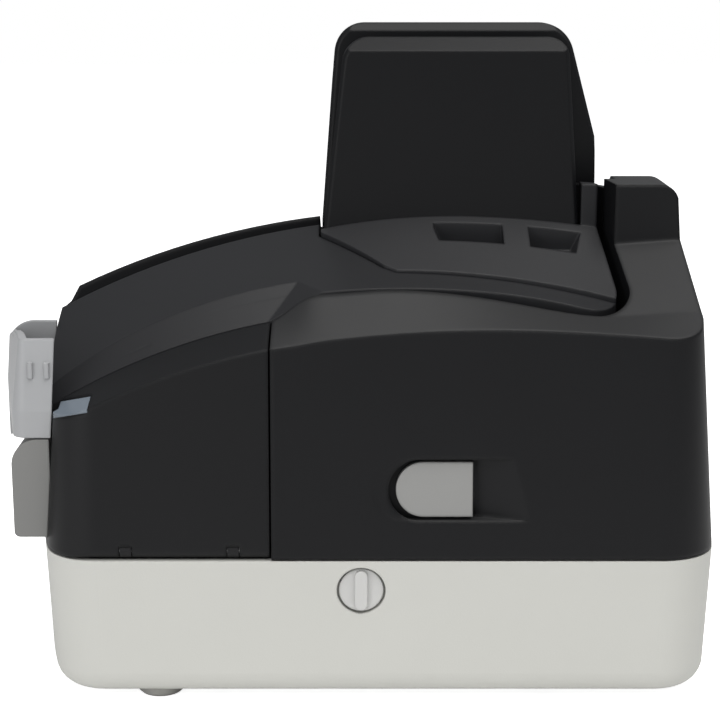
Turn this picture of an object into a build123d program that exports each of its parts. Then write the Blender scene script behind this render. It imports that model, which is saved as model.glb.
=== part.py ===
from build123d import *
import math
import os

os.makedirs("parts", exist_ok=True)

# Cheque scanner. Millimetres, +Z up, front (exit pocket) towards -Y, opening side
# towards +X. The origin lies on the table under the middle of the object.

# Body plan, measured at the parting line between the pale base and the black covers
BODY_WIDTH = 124.0
BODY_REAR_Y = 97.3
BODY_FRONT_Y = -87.0
BODY_CORNER_R = 15.5
FRONT_BOW_R = 195.0
SEAM_Z = 41.0
SEAM_GAP = 0.4
UPPER_DRAFT = 4.5
UPPER_FORM_H = 110.0
BASE_DRAFT = 2.2
WALL = 2.4
PART_GAP = 0.5
FIT = 0.2
RUN = 0.05

# Base, feet and chassis
FOOT_H = 2.5
FOOT_R = 6.3
FOOT_SINK = 1.0
FEET = ((49.0, -51.0), (-49.0, -51.0), (41.0, 70.0), (-41.0, 70.0))
BASE_INSET = 1.5
BASE_EDGE_R = 7.0
CHASSIS_Z = 38.0
CHASSIS_T = 2.4
CHASSIS_INSET = 4.4
LANE_FLOOR_Z = 45.0
POSTS = ((48.0, -34.0), (-48.0, -34.0), (50.0, 52.0), (-50.0, 52.0))
POST_R = 4.6
SCREW_R = 1.5
SCREW_HEAD_R = 3.0
SCREW_HEAD_H = 2.0
SCREW_SEAT_Z = 26.0
BOARD_Z = 11.0
BOARD_T = 1.6
BOARD = (-42.0, 16.0, -58.0, 88.0)
BOARD_POSTS = ((-38.0, -50.0), (12.0, -50.0), (-38.0, 30.0), (12.0, 30.0))
DC_X = -38.0
USB_X = -16.0
POWER_X = 6.0
POWER_R = 4.0
PORT_Z = 19.0

# Separation dial on the side of the base
DIAL_Y = 3.3
DIAL_Z = 32.8
DIAL_R = 5.8
DIAL_RECESS_R = 6.4
DIAL_FLOOR_X = 59.4
DIAL_FACE_X = 61.95
DIAL_SHAFT_R = 2.5

# Roller drive: shaft places, roller and pulley sizes, belt planes
PICK = (10.3, 15.0)
FEED = (10.3, 48.0)
REAR_DRIVE = (31.6, 42.0)
FRONT_DRIVE = (31.6, -35.0)
MOTOR = (-40.0, 14.0)
RETARD = (-9.5, 48.0)
FEED_ROLLER_R = 10.0
DRIVE_ROLLER_R = 9.8
RETARD_R = 9.0
IDLER_R = 6.4
IDLER_X = 48.6
SHAFT_R = 2.5
ROLLER_BANDS = ((54.0, 66.0), (76.0, 88.0))
SHAFT_TOP_Z = 93.0
SHAFT_LOW_Z = 27.5
PULLEY_R = 6.0
MAIN_BELT_Z = (29.5, 34.5)
PICK_BELT_Z = (22.0, 27.0)
BELT_T = 1.2
BELT_GAP = 0.3
BUSH_R = 5.0

# Crowned tops: an arc seen from the side, given by its radius and its summit
RIDGE = (222.0, 21.7, 122.3)
ISLAND_FRONT = (180.0, 31.5, 126.1)
ISLAND_REAR = (300.0, 31.5, 126.1)
DECK_EDGE_FRONT = (149.0, 8.0, 110.4)
DECK_EDGE_REAR = (230.0, 8.0, 110.4)
BAND_EDGE = (176.0, 12.7, 104.3)
SHOULDER_FRONT = (190.0, 13.5, 99.3)
SHOULDER_REAR = (420.0, 42.0, 101.1)
SHOULDER_JOIN_Y = -10.0
RIM = (228.0, 19.3, 123.3)
SHOULDER_X = 58.0

# Document track: hopper lane, turn at the rear, scanning lane
LANE_A_X = 1.0
RIM_X = -7.0
HOPPER_X = -11.0
HOPPER_FRONT_Y = -8.0
LANE_B_IN_X = 41.0
LANE_B_OUT_X = 44.6
DECK_LIP_X = 44.1
TURN_SLANT = 0.108
TURN_IN_Y = 70.5
TURN_OUT_Y = 73.1
TURN_LEFT_X = -8.0
TURN_IN_R = (6.0, 10.0)
TURN_OUT_R = (12.5, 10.0)
FAR_PLATE_REAR_Y = 71.5
GUIDE_T = 2.2
ISLAND_FRONT_Y = -70.0

# Parting lines of the covers
DOOR_SEAM_Y = -20.3
DOOR_FRONT_X = 50.0
DOOR_NOTCH_Y = -67.0
GUIDE_END_Y = -24.0
GUIDE_FRONT_Y = -75.0
FEED_SEAM_X = 34.0
RAMP_FOOT = (43.5, -20.5, 101.5)
RAMP_NORMAL = (58.0, -50.5, 91.25)
STEP_FOOT_OUT = 0.7
STEP_FOOT_RISE = -1.0
TOWER_X = 17.0
TOWER_LEFT_X = -8.0
TOWER_TOP_Z = 133.6
TOWER_ROUND_R = 5.2
GUIDE_TOP_Z = 131.0
COVER_END_X = -42.0
CORNER_END_X = 3.5
REAR_SPLIT_Y = 74.6

# Pivot of the swing cover and hinge line of the front door
PIVOT = (-30.0, 86.3)
PIVOT_R = 10.8
PIVOT_PIN_R = 3.0
PIVOT_GAP = 0.8
PIVOT_TOP_Z = 98.0
DOOR_AXIS = (59.7, 43.6)
DOOR_BEAD_R = 2.1
DOOR_PIN_R = 1.0

# Exit stopper on its tongue
STOPPER_T = 1.8
STOPPER_Z = (62.0, 97.0)
STOPPER_CREASE_Z = 78.0
STOPPER_TAPER = 2.0
STOPPER_NEAR = (49.8, -88.1)
STOPPER_CORNER_R = 4.2
STOPPER_REACH = 1.02
TRAY_X = (14.0, 49.6)
TRAY_Z = (43.5, 70.4)
TRAY_FRONT_Y = -89.1
GRIP_YS = (-83.2, -78.9)
TONGUE_Z = (68.0, 77.0)
TONGUE_X = 6.0

# Tall guide plates of the hopper
NEAR_PLATE_X = 7.0
FAR_PLATE_X = -17.0
SKIRT_Z = 94.0
DECK_SEAT = 3.4
PLATE_TOP_Z = 172.8
FAR_TOP_Z = 176.2
PLATE_EDGE = 1.0
SLOPE_IN = 0.53


def crown(arc, y):
    """Height of a crown arc at distance y along the body."""
    radius, summit_y, summit_z = arc
    return summit_z - radius + math.sqrt(radius**2 - (y - summit_y) ** 2)


def deck_edge(y):
    return crown(DECK_EDGE_FRONT if y < DECK_EDGE_FRONT[1] else DECK_EDGE_REAR, y)


def shoulder(y):
    return crown(SHOULDER_FRONT if y < SHOULDER_JOIN_Y else SHOULDER_REAR, y)


def cover_lip(y):
    """Inner top edge of the swing cover: ramp behind the door, crest, then a long fall."""
    stations = ((-26, 99.4), (-19.5, 101.4), (-15, 104.7), (-10.5, 107.5), (-3, 108.6), (8, 109.4),
                (22, 109.0), (40, 106.6), (54, 104.0), (66, 102.5), (78, 102.9), (105, 103.2))
    for (y0, z0), (y1, z1) in zip(stations, stations[1:]):
        if y <= y1:
            t = (y - y0) / (y1 - y0)
            return z0 + (z1 - z0) * t
    return stations[-1][1]


def between(x, x_a, height_a, x_b, height_b):
    """Height line on the plane at x, on the straight slope between two height lines."""
    share = (x - x_a) / (x_b - x_a)
    return lambda y: height_a(y) + (height_b(y) - height_a(y)) * share


def side_profile(x, height, knots, drop, smooth):
    """Closed side view at x under a height line, as arcs between knots or one spline."""
    floor_z = SEAM_Z - 8
    with BuildSketch(Plane.YZ.offset(x)) as profile:
        with BuildLine():
            if smooth:
                Spline(*[(y, height(y) - drop) for y in knots])
            else:
                for y0, y1 in zip(knots, knots[1:]):
                    mid = (y0 + y1) / 2
                    ThreePointArc((y0, height(y0) - drop), (mid, height(mid) - drop), (y1, height(y1) - drop))
            first, last = knots[0], knots[-1]
            Polyline((last, height(last) - drop), (last, floor_z), (first, floor_z), (first, height(first) - drop))
        make_face()
    return profile.sketch


def roof(x_a, height_a, x_b, height_b, knots, drop=0.0, smooth=False):
    """Solid under the ruled surface between two height lines."""
    with BuildPart() as form:
        add(side_profile(x_a, height_a, knots, drop, smooth))
        add(side_profile(x_b, height_b, knots, drop, smooth))
        loft(ruled=True)
    return form.part


def body_plan(z, inset=0.0):
    """Outline of the body at one height: bowed front, straight sides, round corners."""
    half = BODY_WIDTH / 2
    corner_y = BODY_FRONT_Y + FRONT_BOW_R - math.sqrt(FRONT_BOW_R**2 - half**2)
    with BuildSketch(Plane.XY.offset(z)) as plan:
        with BuildLine():
            ThreePointArc((-half, corner_y), (0, BODY_FRONT_Y), (half, corner_y))
            Polyline((half, corner_y), (half, BODY_REAR_Y), (-half, BODY_REAR_Y), (-half, corner_y))
        make_face()
        fillet(plan.vertices(), BODY_CORNER_R)
        if inset != 0:
            offset(amount=-inset, kind=Kind.INTERSECTION)
    return plan.sketch


def upper_block(inset=0.0):
    """Drafted block that every black cover is cut from."""
    lean = UPPER_FORM_H * math.tan(math.radians(UPPER_DRAFT))
    with BuildPart() as block:
        add(body_plan(SEAM_Z, inset))
        add(body_plan(SEAM_Z + UPPER_FORM_H, inset + lean))
        loft(ruled=True)
    return block.part


def prism(z_low, z_high, *outlines):
    """Upright prism over one or more flat sketches."""
    with BuildPart() as body:
        with BuildSketch(Plane.XY.offset(z_low)):
            for outline in outlines:
                add(outline)
        extrude(amount=z_high - z_low)
    return body.part


def rect(x0, x1, y0, y1):
    """Flat rectangle given by its edges."""
    with BuildSketch() as sketch:
        with Locations(((x0 + x1) / 2, (y0 + y1) / 2)):
            Rectangle(x1 - x0, y1 - y0)
    return sketch.sketch


def box(x0, x1, y0, y1, z0, z1):
    """Box given by its six faces."""
    return prism(z0, z1, rect(x0, x1, y0, y1))


SKY = 190.0
FAR = 200.0
LEFT_KNOTS = (-95.0, SHOULDER_JOIN_Y, 105.0)
ISLAND_KNOTS = (-20.0, DECK_EDGE_FRONT[1], ISLAND_FRONT[1], 90.0)
DECK_KNOTS = (-95.0, DECK_EDGE_FRONT[1], 105.0)
BAND_KNOTS = (-95.0, SHOULDER_JOIN_Y, 20.0)
COVER_KNOTS = (-26.0, -19.5, -15.0, -10.5, -3.0, 8.0, 22.0, 40.0, 54.0, 66.0, 78.0, 105.0)


def left_form(drop):
    """Rim along the hopper lane and the roof that falls away to the left side."""
    rim = lambda y: crown(RIM, y)
    outer = between(-64.0, RIM_X, rim, -SHOULDER_X, shoulder)
    return roof(12.0, rim, RIM_X, rim, LEFT_KNOTS, drop) + roof(RIM_X, rim, -64.0, outer, LEFT_KNOTS, drop)


def deck_form(drop):
    ridge = lambda y: crown(RIDGE, y)
    x_in, x_out = LANE_A_X - 1, 50.0
    inner = between(x_in, LANE_A_X, ridge, LANE_B_IN_X, deck_edge)
    outer = between(x_out, LANE_A_X, ridge, LANE_B_IN_X, deck_edge)
    return roof(x_in, inner, x_out, outer, DECK_KNOTS, drop)


def island_form(drop):
    crest = lambda y: crown(ISLAND_FRONT if y < ISLAND_FRONT[1] else ISLAND_REAR, y)
    x_in, x_out = LANE_A_X - 1, LANE_B_IN_X + 1
    inner = between(x_in, LANE_A_X, crest, LANE_B_IN_X, deck_edge)
    outer = between(x_out, LANE_A_X, crest, LANE_B_IN_X, deck_edge)
    return roof(x_in, inner, x_out, outer, ISLAND_KNOTS, drop)


def band_form(drop):
    """Top of the front door: from the foot of the deck's step out to the shoulder."""
    band = lambda y: crown(BAND_EDGE, y)
    x_in, x_out = LANE_B_OUT_X - 1, BODY_WIDTH / 2 + 2
    inner = between(x_in, LANE_B_OUT_X, band, SHOULDER_X, shoulder)
    outer = between(x_out, LANE_B_OUT_X, band, SHOULDER_X, shoulder)
    return roof(x_in, inner, x_out, outer, BAND_KNOTS, drop)


def cover_form(drop):
    """Top of the swing cover: outer band, steeper inner band and the tower at the rear."""
    x_out = BODY_WIDTH / 2 + 2
    x_in = TOWER_X - 6
    outer = between(x_out, LANE_B_OUT_X, cover_lip, SHOULDER_X, shoulder)
    inner = lambda y: cover_lip(y) + SLOPE_IN * (LANE_B_OUT_X - x_in)
    form = roof(LANE_B_OUT_X, cover_lip, x_out, outer, COVER_KNOTS, drop, True)
    form += roof(x_in, inner, LANE_B_OUT_X, cover_lip, COVER_KNOTS, drop, True)
    form += left_form(drop) & box(COVER_END_X, TOWER_LEFT_X + 1, REAR_SPLIT_Y - 4, FAR, 0, SKY)
    top, radius = TOWER_TOP_Z - drop, TOWER_ROUND_R
    rear_y = BODY_REAR_Y - (TOWER_TOP_Z - SEAM_Z) * math.tan(math.radians(UPPER_DRAFT)) + PART_GAP
    mid = radius * math.sqrt(0.5)
    with BuildPart() as tower:
        with BuildSketch(Plane.YZ.offset(TOWER_LEFT_X + drop)):
            with BuildLine():
                Polyline((rear_y - radius, top), (60, top), (60, SEAM_Z - 8), (rear_y + 10, SEAM_Z - 8),
                         (rear_y + 10, top - radius), (rear_y, top - radius))
                ThreePointArc((rear_y, top - radius), (rear_y - radius + mid, top - radius + mid),
                              (rear_y - radius, top))
            make_face()
        extrude(amount=TOWER_X - TOWER_LEFT_X - 2 * drop)
        fillet(tower.edges().filter_by(Axis.Y).group_by(Axis.Z)[-1].sort_by(Axis.X)[0:1], 5.0)
    return form + tower.part


def lane_wall(x, y_at_tower):
    """Rear wall of the lane at x: it leans a little across the body."""
    return y_at_tower + TURN_SLANT * (x - TOWER_X)


def turned_end(x0, x1, y_front, y_at_tower, grow, radii):
    """Lane outline with a slanted rear wall and two rounded rear corners."""
    shift = grow * math.sqrt(1 + TURN_SLANT**2)
    with BuildSketch() as sketch:
        with BuildLine():
            Polyline((x0, y_front), (x1, y_front), (x1, lane_wall(x1, y_at_tower) + shift),
                     (x0, lane_wall(x0, y_at_tower) + shift), close=True)
        make_face()
        left, right = sketch.vertices().sort_by(Axis.Y)[-2:].sort_by(Axis.X)
        fillet(left, radii[0] + grow)
        right = sketch.vertices().sort_by_distance((x1, lane_wall(x1, y_at_tower) + shift))[0]
        fillet(right, radii[1] + grow)
    return sketch.sketch


def turn_outline(grow=0.0):
    """Everything inside the outer wall of the document turn."""
    return turned_end(TURN_LEFT_X - grow, LANE_B_OUT_X + grow, -FAR, TURN_OUT_Y, grow, TURN_OUT_R)


def island_outline(inset=0.0, front_y=ISLAND_FRONT_Y):
    """The island between the lanes, with the inner radii of the turn."""
    x0, x1 = LANE_A_X + inset, LANE_B_IN_X - inset
    return turned_end(x0, x1, front_y + inset, TURN_IN_Y, -inset, TURN_IN_R)


def feed_outline(inset=0.0):
    """Plan of the lift-off feed cover: slanted front end, straight seam on the right."""
    with BuildSketch() as sketch:
        with BuildLine():
            Polyline((LANE_A_X, HOPPER_FRONT_Y), (9, HOPPER_FRONT_Y), (FEED_SEAM_X - 2.5, 9.5),
                     (FEED_SEAM_X, 13), (FEED_SEAM_X, FAR), (LANE_A_X, FAR), close=True)
        make_face()
        fillet([v for v in sketch.vertices() if v.X > LANE_A_X + 1 and v.Y < FEED_SEAM_X], 2.0)
        add(island_outline(front_y=-FAR), mode=Mode.INTERSECT)
        if inset != 0:
            offset(amount=-inset, kind=Kind.INTERSECTION)
    return sketch.sketch


def deck_outline():
    """Plan of the top cover: the island widened to the lip that narrows the scanning lane."""
    with BuildSketch() as sketch:
        add(island_outline(front_y=-FAR))
        with BuildLine():
            lip = Spline((DECK_LIP_X, -9), (LANE_B_IN_X + 2.3, 12), (LANE_B_IN_X + 0.9, 34), (LANE_B_IN_X, 54),
                         tangents=((0, 1), (0, 1)))
            Polyline(lip @ 1, (LANE_B_IN_X - 3, 54), (LANE_B_IN_X - 3, -FAR), (DECK_LIP_X, -FAR), lip @ 0)
        make_face()
        add(feed_outline(-PART_GAP), mode=Mode.SUBTRACT)
    return sketch.sketch



def disc(x, y, radius):
    """Flat disc centred at x, y."""
    with BuildSketch() as sketch:
        with Locations((x, y)):
            Circle(radius)
    return sketch.sketch


def rod(x, y, radius, z_low, z_high):
    """Upright cylinder."""
    return prism(z_low, z_high, disc(x, y, radius))


def rod_y(x, z, radius, y_low, y_high):
    """Cylinder lying along the body."""
    with BuildPart() as body:
        with BuildSketch(Plane.XZ.offset(-y_low)):
            with Locations((x, z)):
                Circle(radius)
        extrude(amount=-(y_high - y_low))
    return body.part


def side_shape(x_low, x_high, corners):
    """Plate lying in the side view, given by (y, z, rounding) corners."""
    with BuildPart() as body:
        with BuildSketch(Plane.YZ.offset(x_low)) as sketch:
            with BuildLine():
                Polyline(*[(y, z) for y, z, radius in corners], close=True)
            make_face()
            for y, z, radius in corners:
                if radius > 0:
                    fillet(sketch.vertices().sort_by_distance((y, z))[0], radius)
        extrude(amount=x_high - x_low)
    return body.part


solid_block = upper_block(0.0)
hollow_block = upper_block(WALL)
rim_z = SEAM_Z + SEAM_GAP
everywhere = rect(-FAR, FAR, -FAR, FAR)


def shell(form, inner_form, outline, inner_outline, z_low):
    """Moulded cover: outer skin, roof and side walls round one open-bottomed hollow."""
    outer = solid_block & form & prism(z_low, SKY, outline)
    inner = hollow_block & inner_form & prism(z_low - 20, SKY, inner_outline)
    return outer - inner



# --- Base housing: pale moulded tub with a rounded foot edge ------------------------------
with BuildPart() as base_cavity:
    add(body_plan(FOOT_H + WALL, BASE_INSET + WALL))
    add(body_plan(SEAM_Z + 1, WALL))
    loft(ruled=True)
    fillet(base_cavity.faces().sort_by(Axis.Z)[0].edges(), BASE_EDGE_R - WALL)

with BuildPart() as base_housing:
    add(body_plan(FOOT_H, BASE_INSET))
    add(body_plan(SEAM_Z))
    loft(ruled=True)
    fillet(base_housing.faces().sort_by(Axis.Z)[0].edges(), BASE_EDGE_R)
    add(base_cavity.part, mode=Mode.SUBTRACT)
    floor_z = FOOT_H + WALL
    with BuildSketch(Plane.XY.offset(floor_z - 1)):
        with Locations(*POSTS):
            Circle(POST_R)
    extrude(amount=CHASSIS_Z - floor_z + 1)
    with BuildSketch(Plane.XY.offset(floor_z - 1)):
        with Locations(*BOARD_POSTS):
            Circle(3.2)
    extrude(amount=BOARD_Z - floor_z + 1)
    with BuildSketch(Plane.XY.offset(FOOT_H)):
        with Locations(*FEET):
            Circle(FOOT_R + FIT / 2)
    extrude(amount=FOOT_SINK, mode=Mode.SUBTRACT)
    with BuildSketch(Plane.XY.offset(FOOT_H)):
        with Locations(*POSTS):
            Circle(SCREW_HEAD_R + FIT)
    extrude(amount=SCREW_SEAT_Z - FOOT_H, mode=Mode.SUBTRACT)
    with BuildSketch(Plane.XY.offset(FOOT_H)):
        with Locations(*POSTS):
            Circle(SCREW_R + RUN)
    extrude(amount=CHASSIS_Z, mode=Mode.SUBTRACT)
    with BuildSketch(Plane.YZ.offset(BODY_WIDTH / 2 - CHASSIS_INSET + PART_GAP)):
        with Locations((DIAL_Y, DIAL_Z)):
            Circle(DIAL_RECESS_R + 1.4)
    extrude(amount=2.2)
    with BuildSketch(Plane.YZ.offset(DIAL_FLOOR_X)):
        with Locations((DIAL_Y, DIAL_Z)):
            Circle(DIAL_RECESS_R)
    extrude(amount=5, mode=Mode.SUBTRACT)
    with BuildSketch(Plane.YZ.offset(50)):
        with Locations((DIAL_Y, DIAL_Z)):
            Circle(DIAL_SHAFT_R + RUN)
    extrude(amount=12, mode=Mode.SUBTRACT)
    with BuildSketch(Plane.XZ.offset(-BODY_REAR_Y - 3)):
        with Locations((DC_X, PORT_Z)):
            Circle(5.0 + FIT)
        with Locations((USB_X, PORT_Z)):
            Rectangle(12.0 + 2 * FIT, 11.0 + 2 * FIT)
        with Locations((POWER_X, PORT_Z)):
            Circle(POWER_R + FIT)
    extrude(amount=10, mode=Mode.SUBTRACT)

with BuildPart() as rubber_feet:
    with BuildSketch():
        with Locations(*FEET):
            Circle(FOOT_R)
    extrude(amount=FOOT_H + FOOT_SINK)
    chamfer(rubber_feet.edges().group_by(Axis.Z)[0], 0.7)

with BuildPart() as cover_screws:
    with BuildSketch(Plane.XY.offset(SCREW_SEAT_Z - SCREW_HEAD_H)):
        with Locations(*POSTS):
            Circle(SCREW_HEAD_R)
    extrude(amount=SCREW_HEAD_H)
    with BuildSketch(Plane.XY.offset(SCREW_SEAT_Z)):
        with Locations(*POSTS):
            Circle(SCREW_R)
    extrude(amount=CHASSIS_Z + CHASSIS_T - SCREW_SEAT_Z)

# --- Chassis plate: pressed sheet that ties the base, covers and roller shafts -------------
chassis_top = CHASSIS_Z + CHASSIS_T
SHAFTS = (PICK, FEED, REAR_DRIVE, FRONT_DRIVE)
with BuildPart() as chassis_plate:
    with BuildSketch(Plane.XY.offset(CHASSIS_Z)) as plate_plan:
        add(body_plan(0, CHASSIS_INSET))
        with Locations(*SHAFTS):
            Circle(BUSH_R, mode=Mode.SUBTRACT)
        with Locations(*POSTS):
            Circle(SCREW_R, mode=Mode.SUBTRACT)
        with Locations(PIVOT):
            Circle(PIVOT_PIN_R, mode=Mode.SUBTRACT)
        with Locations(MOTOR):
            Circle(PULLEY_R, mode=Mode.SUBTRACT)
        with Locations(RETARD):
            Circle(SHAFT_R - RUN, mode=Mode.SUBTRACT)
        with Locations((-30, -52), (20, -62), (-30, 60)):
            SlotOverall(24, 10, mode=Mode.SUBTRACT)
    extrude(amount=CHASSIS_T)

with BuildPart() as shaft_bushings:
    with BuildSketch(Plane.XY.offset(CHASSIS_Z - 1.5)):
        with Locations(*SHAFTS):
            Circle(BUSH_R)
            Circle(SHAFT_R + RUN, mode=Mode.SUBTRACT)
    extrude(amount=CHASSIS_T + 3)

# --- Centre frame: lane floor, island wall with roller windows ------------------------------
frame_top = SKIRT_Z - 0.3
island_ring = island_outline() - island_outline(2.0)
with BuildPart() as centre_frame:
    with BuildSketch(Plane.XY.offset(chassis_top)) as floor_plan:
        add(turn_outline(-0.3))
        add(rect(FAR_PLATE_X, CORNER_END_X - PART_GAP, 0, REAR_SPLIT_Y - PART_GAP))
        add(rect(FAR_PLATE_X, 40, -FAR, 40))
        add(rect(LANE_B_IN_X, 52, -FAR, GUIDE_END_Y))
        add(body_plan(0, WALL + 0.5), mode=Mode.INTERSECT)
        with Locations(*SHAFTS):
            Circle(BUSH_R + FIT, mode=Mode.SUBTRACT)
        with Locations(RETARD):
            Circle(SHAFT_R - RUN, mode=Mode.SUBTRACT)
    extrude(amount=LANE_FLOOR_Z - chassis_top)
    add(prism(LANE_FLOOR_Z, frame_top, island_ring) & deck_form(DECK_SEAT + 0.3))
    for low, high in ROLLER_BANDS:
        for x, y in (PICK, FEED):
            add(box(x - FEED_ROLLER_R - 1, x, y - 9.5, y + 9.5, low - 1, high + 1), mode=Mode.SUBTRACT)
        for x, y in (REAR_DRIVE, FRONT_DRIVE):
            add(box(x, x + DRIVE_ROLLER_R + 1, y - 7.5, y + 7.5, low - 1, high + 1), mode=Mode.SUBTRACT)
    add(box(38, 42, -58.1, -47.9, 48, 82), mode=Mode.SUBTRACT)
    add(box(38, 42, -9.1, -0.9, 52, 66), mode=Mode.SUBTRACT)
    add(box(TONGUE_X - FIT, TONGUE_X + STOPPER_T + FIT, -75, -60, TONGUE_Z[0] - FIT, TONGUE_Z[1] + FIT),
        mode=Mode.SUBTRACT)

with BuildPart() as bearing_plate:
    with BuildSketch(Plane.XY.offset(frame_top - 2.4)):
        add(island_outline(2.0))
        add(rect(0, 50, -FAR, -44), mode=Mode.SUBTRACT)
        with Locations(*SHAFTS):
            Circle(SHAFT_R + RUN, mode=Mode.SUBTRACT)
        with Locations((20.5, -10)):
            Rectangle(22, 26, mode=Mode.SUBTRACT)
    extrude(amount=2.0)

# --- Left housing: rim along the hopper, roof to the left, skin on three sides ----------
with BuildSketch() as left_plan:
    add(rect(-FAR, RIM_X, -FAR, HOPPER_FRONT_Y - PART_GAP))
    add(rect(-FAR, FAR_PLATE_X - FIT, -FAR, FAR_PLATE_REAR_Y))
    add(rect(-FAR, HOPPER_X, FAR_PLATE_REAR_Y, REAR_SPLIT_Y - PART_GAP))
    add(rect(-FAR, PIVOT[0], FAR_PLATE_REAR_Y, FAR))
    add(disc(*PIVOT, PIVOT_R + PIVOT_GAP), mode=Mode.SUBTRACT)
with BuildSketch() as left_hollow:
    add(rect(-FAR, RIM_X - WALL, -FAR, HOPPER_FRONT_Y - PART_GAP - WALL))
    add(rect(-FAR, FAR_PLATE_X, -FAR, FAR_PLATE_REAR_Y - WALL))
    add(rect(-FAR, PIVOT[0] - WALL, FAR_PLATE_REAR_Y - WALL - 1, FAR))
    add(disc(*PIVOT, PIVOT_R + PIVOT_GAP + WALL), mode=Mode.SUBTRACT)
with BuildPart() as left_housing:
    add(shell(left_form(0), left_form(WALL), left_plan.sketch, left_hollow.sketch, SEAM_Z))
    add(side_shape(-30.0, 0.0, [(-95.0, 95.5, 0), (-81.9, 95.5, 0), (-77.2, 104.0, 0), (-95.0, 104.0, 0)]),
        mode=Mode.SUBTRACT)
    add(prism(0, chassis_top + 5, floor_plan.sketch), mode=Mode.SUBTRACT)

# --- Outer swing cover with the outer wall of the turn and the rear tower ------------------
with BuildSketch() as cover_plan:
    add(rect(TURN_LEFT_X, FAR, DOOR_SEAM_Y + PART_GAP / 2, FAR))
    add(turn_outline(), mode=Mode.SUBTRACT)
    add(rect(TURN_LEFT_X - 1, CORNER_END_X, -FAR, REAR_SPLIT_Y), mode=Mode.SUBTRACT)
    add(rect(PIVOT[0] + PART_GAP, TURN_LEFT_X, REAR_SPLIT_Y, FAR))
    add(disc(*PIVOT, PIVOT_R))
with BuildSketch() as cover_hollow:
    add(rect(COVER_END_X, FAR, DOOR_SEAM_Y + PART_GAP / 2 + WALL, FAR))
    add(turn_outline(WALL), mode=Mode.SUBTRACT)
    add(rect(COVER_END_X - 1, CORNER_END_X + WALL, -FAR, REAR_SPLIT_Y + WALL), mode=Mode.SUBTRACT)
    add(disc(*PIVOT, PIVOT_R - WALL))
    add(disc(*PIVOT, PIVOT_PIN_R + WALL), mode=Mode.SUBTRACT)

# Open slide set in the side: depths are measured in from the drafted skin
SLIDE_Z = (52.6, 67.0)
SLIDE_Y = (12.3, 32.2)
SLIDE_DEPTH = 0.9
SLIDE_T = 1.8
SLIDE_TRAVEL = 5.0
RECESS_END_Y = 48.2
RECESS_GAP = 0.9
RING_GAP = 2.0


def side_layer(depth_out, depth_in, y_low, y_high, z_low, z_high, round_front=True):
    """Piece of a layer parallel to the drafted side, round at its front end."""
    height = z_high - z_low
    layer = upper_block(depth_out) - upper_block(depth_in)
    with BuildPart() as cutter:
        with BuildSketch(Plane.YZ.offset(50)) as face:
            with Locations(((y_low + y_high) / 2, (z_low + z_high) / 2)):
                Rectangle(y_high - y_low, height)
            if round_front:
                fillet(face.vertices().group_by(Axis.X)[0], height / 2 - 0.01)
        extrude(amount=20)
    return layer & cutter.part


z_mid = (SLIDE_Z[0] + SLIDE_Z[1]) / 2
pocket_z = (SLIDE_Z[0] - RECESS_GAP, SLIDE_Z[1] + RECESS_GAP)
slot_depth = SLIDE_DEPTH + SLIDE_T + 0.3
slot_front_y = SLIDE_Y[0] - RECESS_GAP - SLIDE_TRAVEL
with BuildPart() as outer_cover:
    add(shell(cover_form(0), cover_form(WALL), cover_plan.sketch, cover_hollow.sketch, rim_z))
    add(side_layer(1.0, slot_depth + 1.6, slot_front_y - 2, RECESS_END_Y + 2,
                   pocket_z[0] - 1.8, pocket_z[1] + 1.8, False))
    add(side_layer(SLIDE_DEPTH - 0.3, slot_depth, slot_front_y, SLIDE_Y[1] + 1, *pocket_z),
        mode=Mode.SUBTRACT)
    add(side_layer(-1.0, slot_depth, SLIDE_Y[0] - RING_GAP, SLIDE_Y[1] + 1, *pocket_z),
        mode=Mode.SUBTRACT)
    with BuildSketch(Plane.XY.offset(pocket_z[0])):
        with BuildLine():
            Polyline((57.0, SLIDE_Y[1] + 0.5), (61.4, RECESS_END_Y), (66.0, RECESS_END_Y),
                     (66.0, SLIDE_Y[1] + 0.5), close=True)
        make_face()
    extrude(amount=pocket_z[1] - pocket_z[0], mode=Mode.SUBTRACT)
    with BuildSketch(Plane.YZ.offset(45)):
        with Locations(((SLIDE_Y[0] + SLIDE_Y[1] - SLIDE_TRAVEL) / 2, z_mid)):
            Rectangle(4 + SLIDE_TRAVEL + 1, 5)
    extrude(amount=14, mode=Mode.SUBTRACT)
    with BuildSketch(Plane.XY.offset(rim_z)):
        with Locations(PIVOT):
            Circle(PIVOT_PIN_R + RUN)
    extrude(amount=PIVOT_TOP_Z - rim_z, mode=Mode.SUBTRACT)
    for low, high in ROLLER_BANDS:
        add(box(LANE_B_OUT_X - 1, LANE_B_OUT_X + WALL + 1, REAR_DRIVE[1] - 7, REAR_DRIVE[1] + 7,
                low - 1, high + 1), mode=Mode.SUBTRACT)

with BuildPart() as open_slide:
    add(side_layer(SLIDE_DEPTH, SLIDE_DEPTH + SLIDE_T, *SLIDE_Y, *SLIDE_Z))
    with BuildSketch(Plane.YZ.offset(53)):
        with Locations(((SLIDE_Y[0] + SLIDE_Y[1]) / 2, z_mid)):
            Rectangle(4, 4)
    extrude(amount=5.5)

with BuildPart() as latch_bar:
    with BuildSketch(Plane.YZ.offset(51)):
        with BuildLine():
            y_rear = (SLIDE_Y[0] + SLIDE_Y[1]) / 2 + 3
            Polyline((y_rear, z_mid + 4), (y_rear, z_mid - 4), (-6, z_mid - 4), (-11, z_mid - 7),
                     (-11, z_mid), (-6, z_mid + 4), close=True)
        make_face()
    extrude(amount=2)

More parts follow.
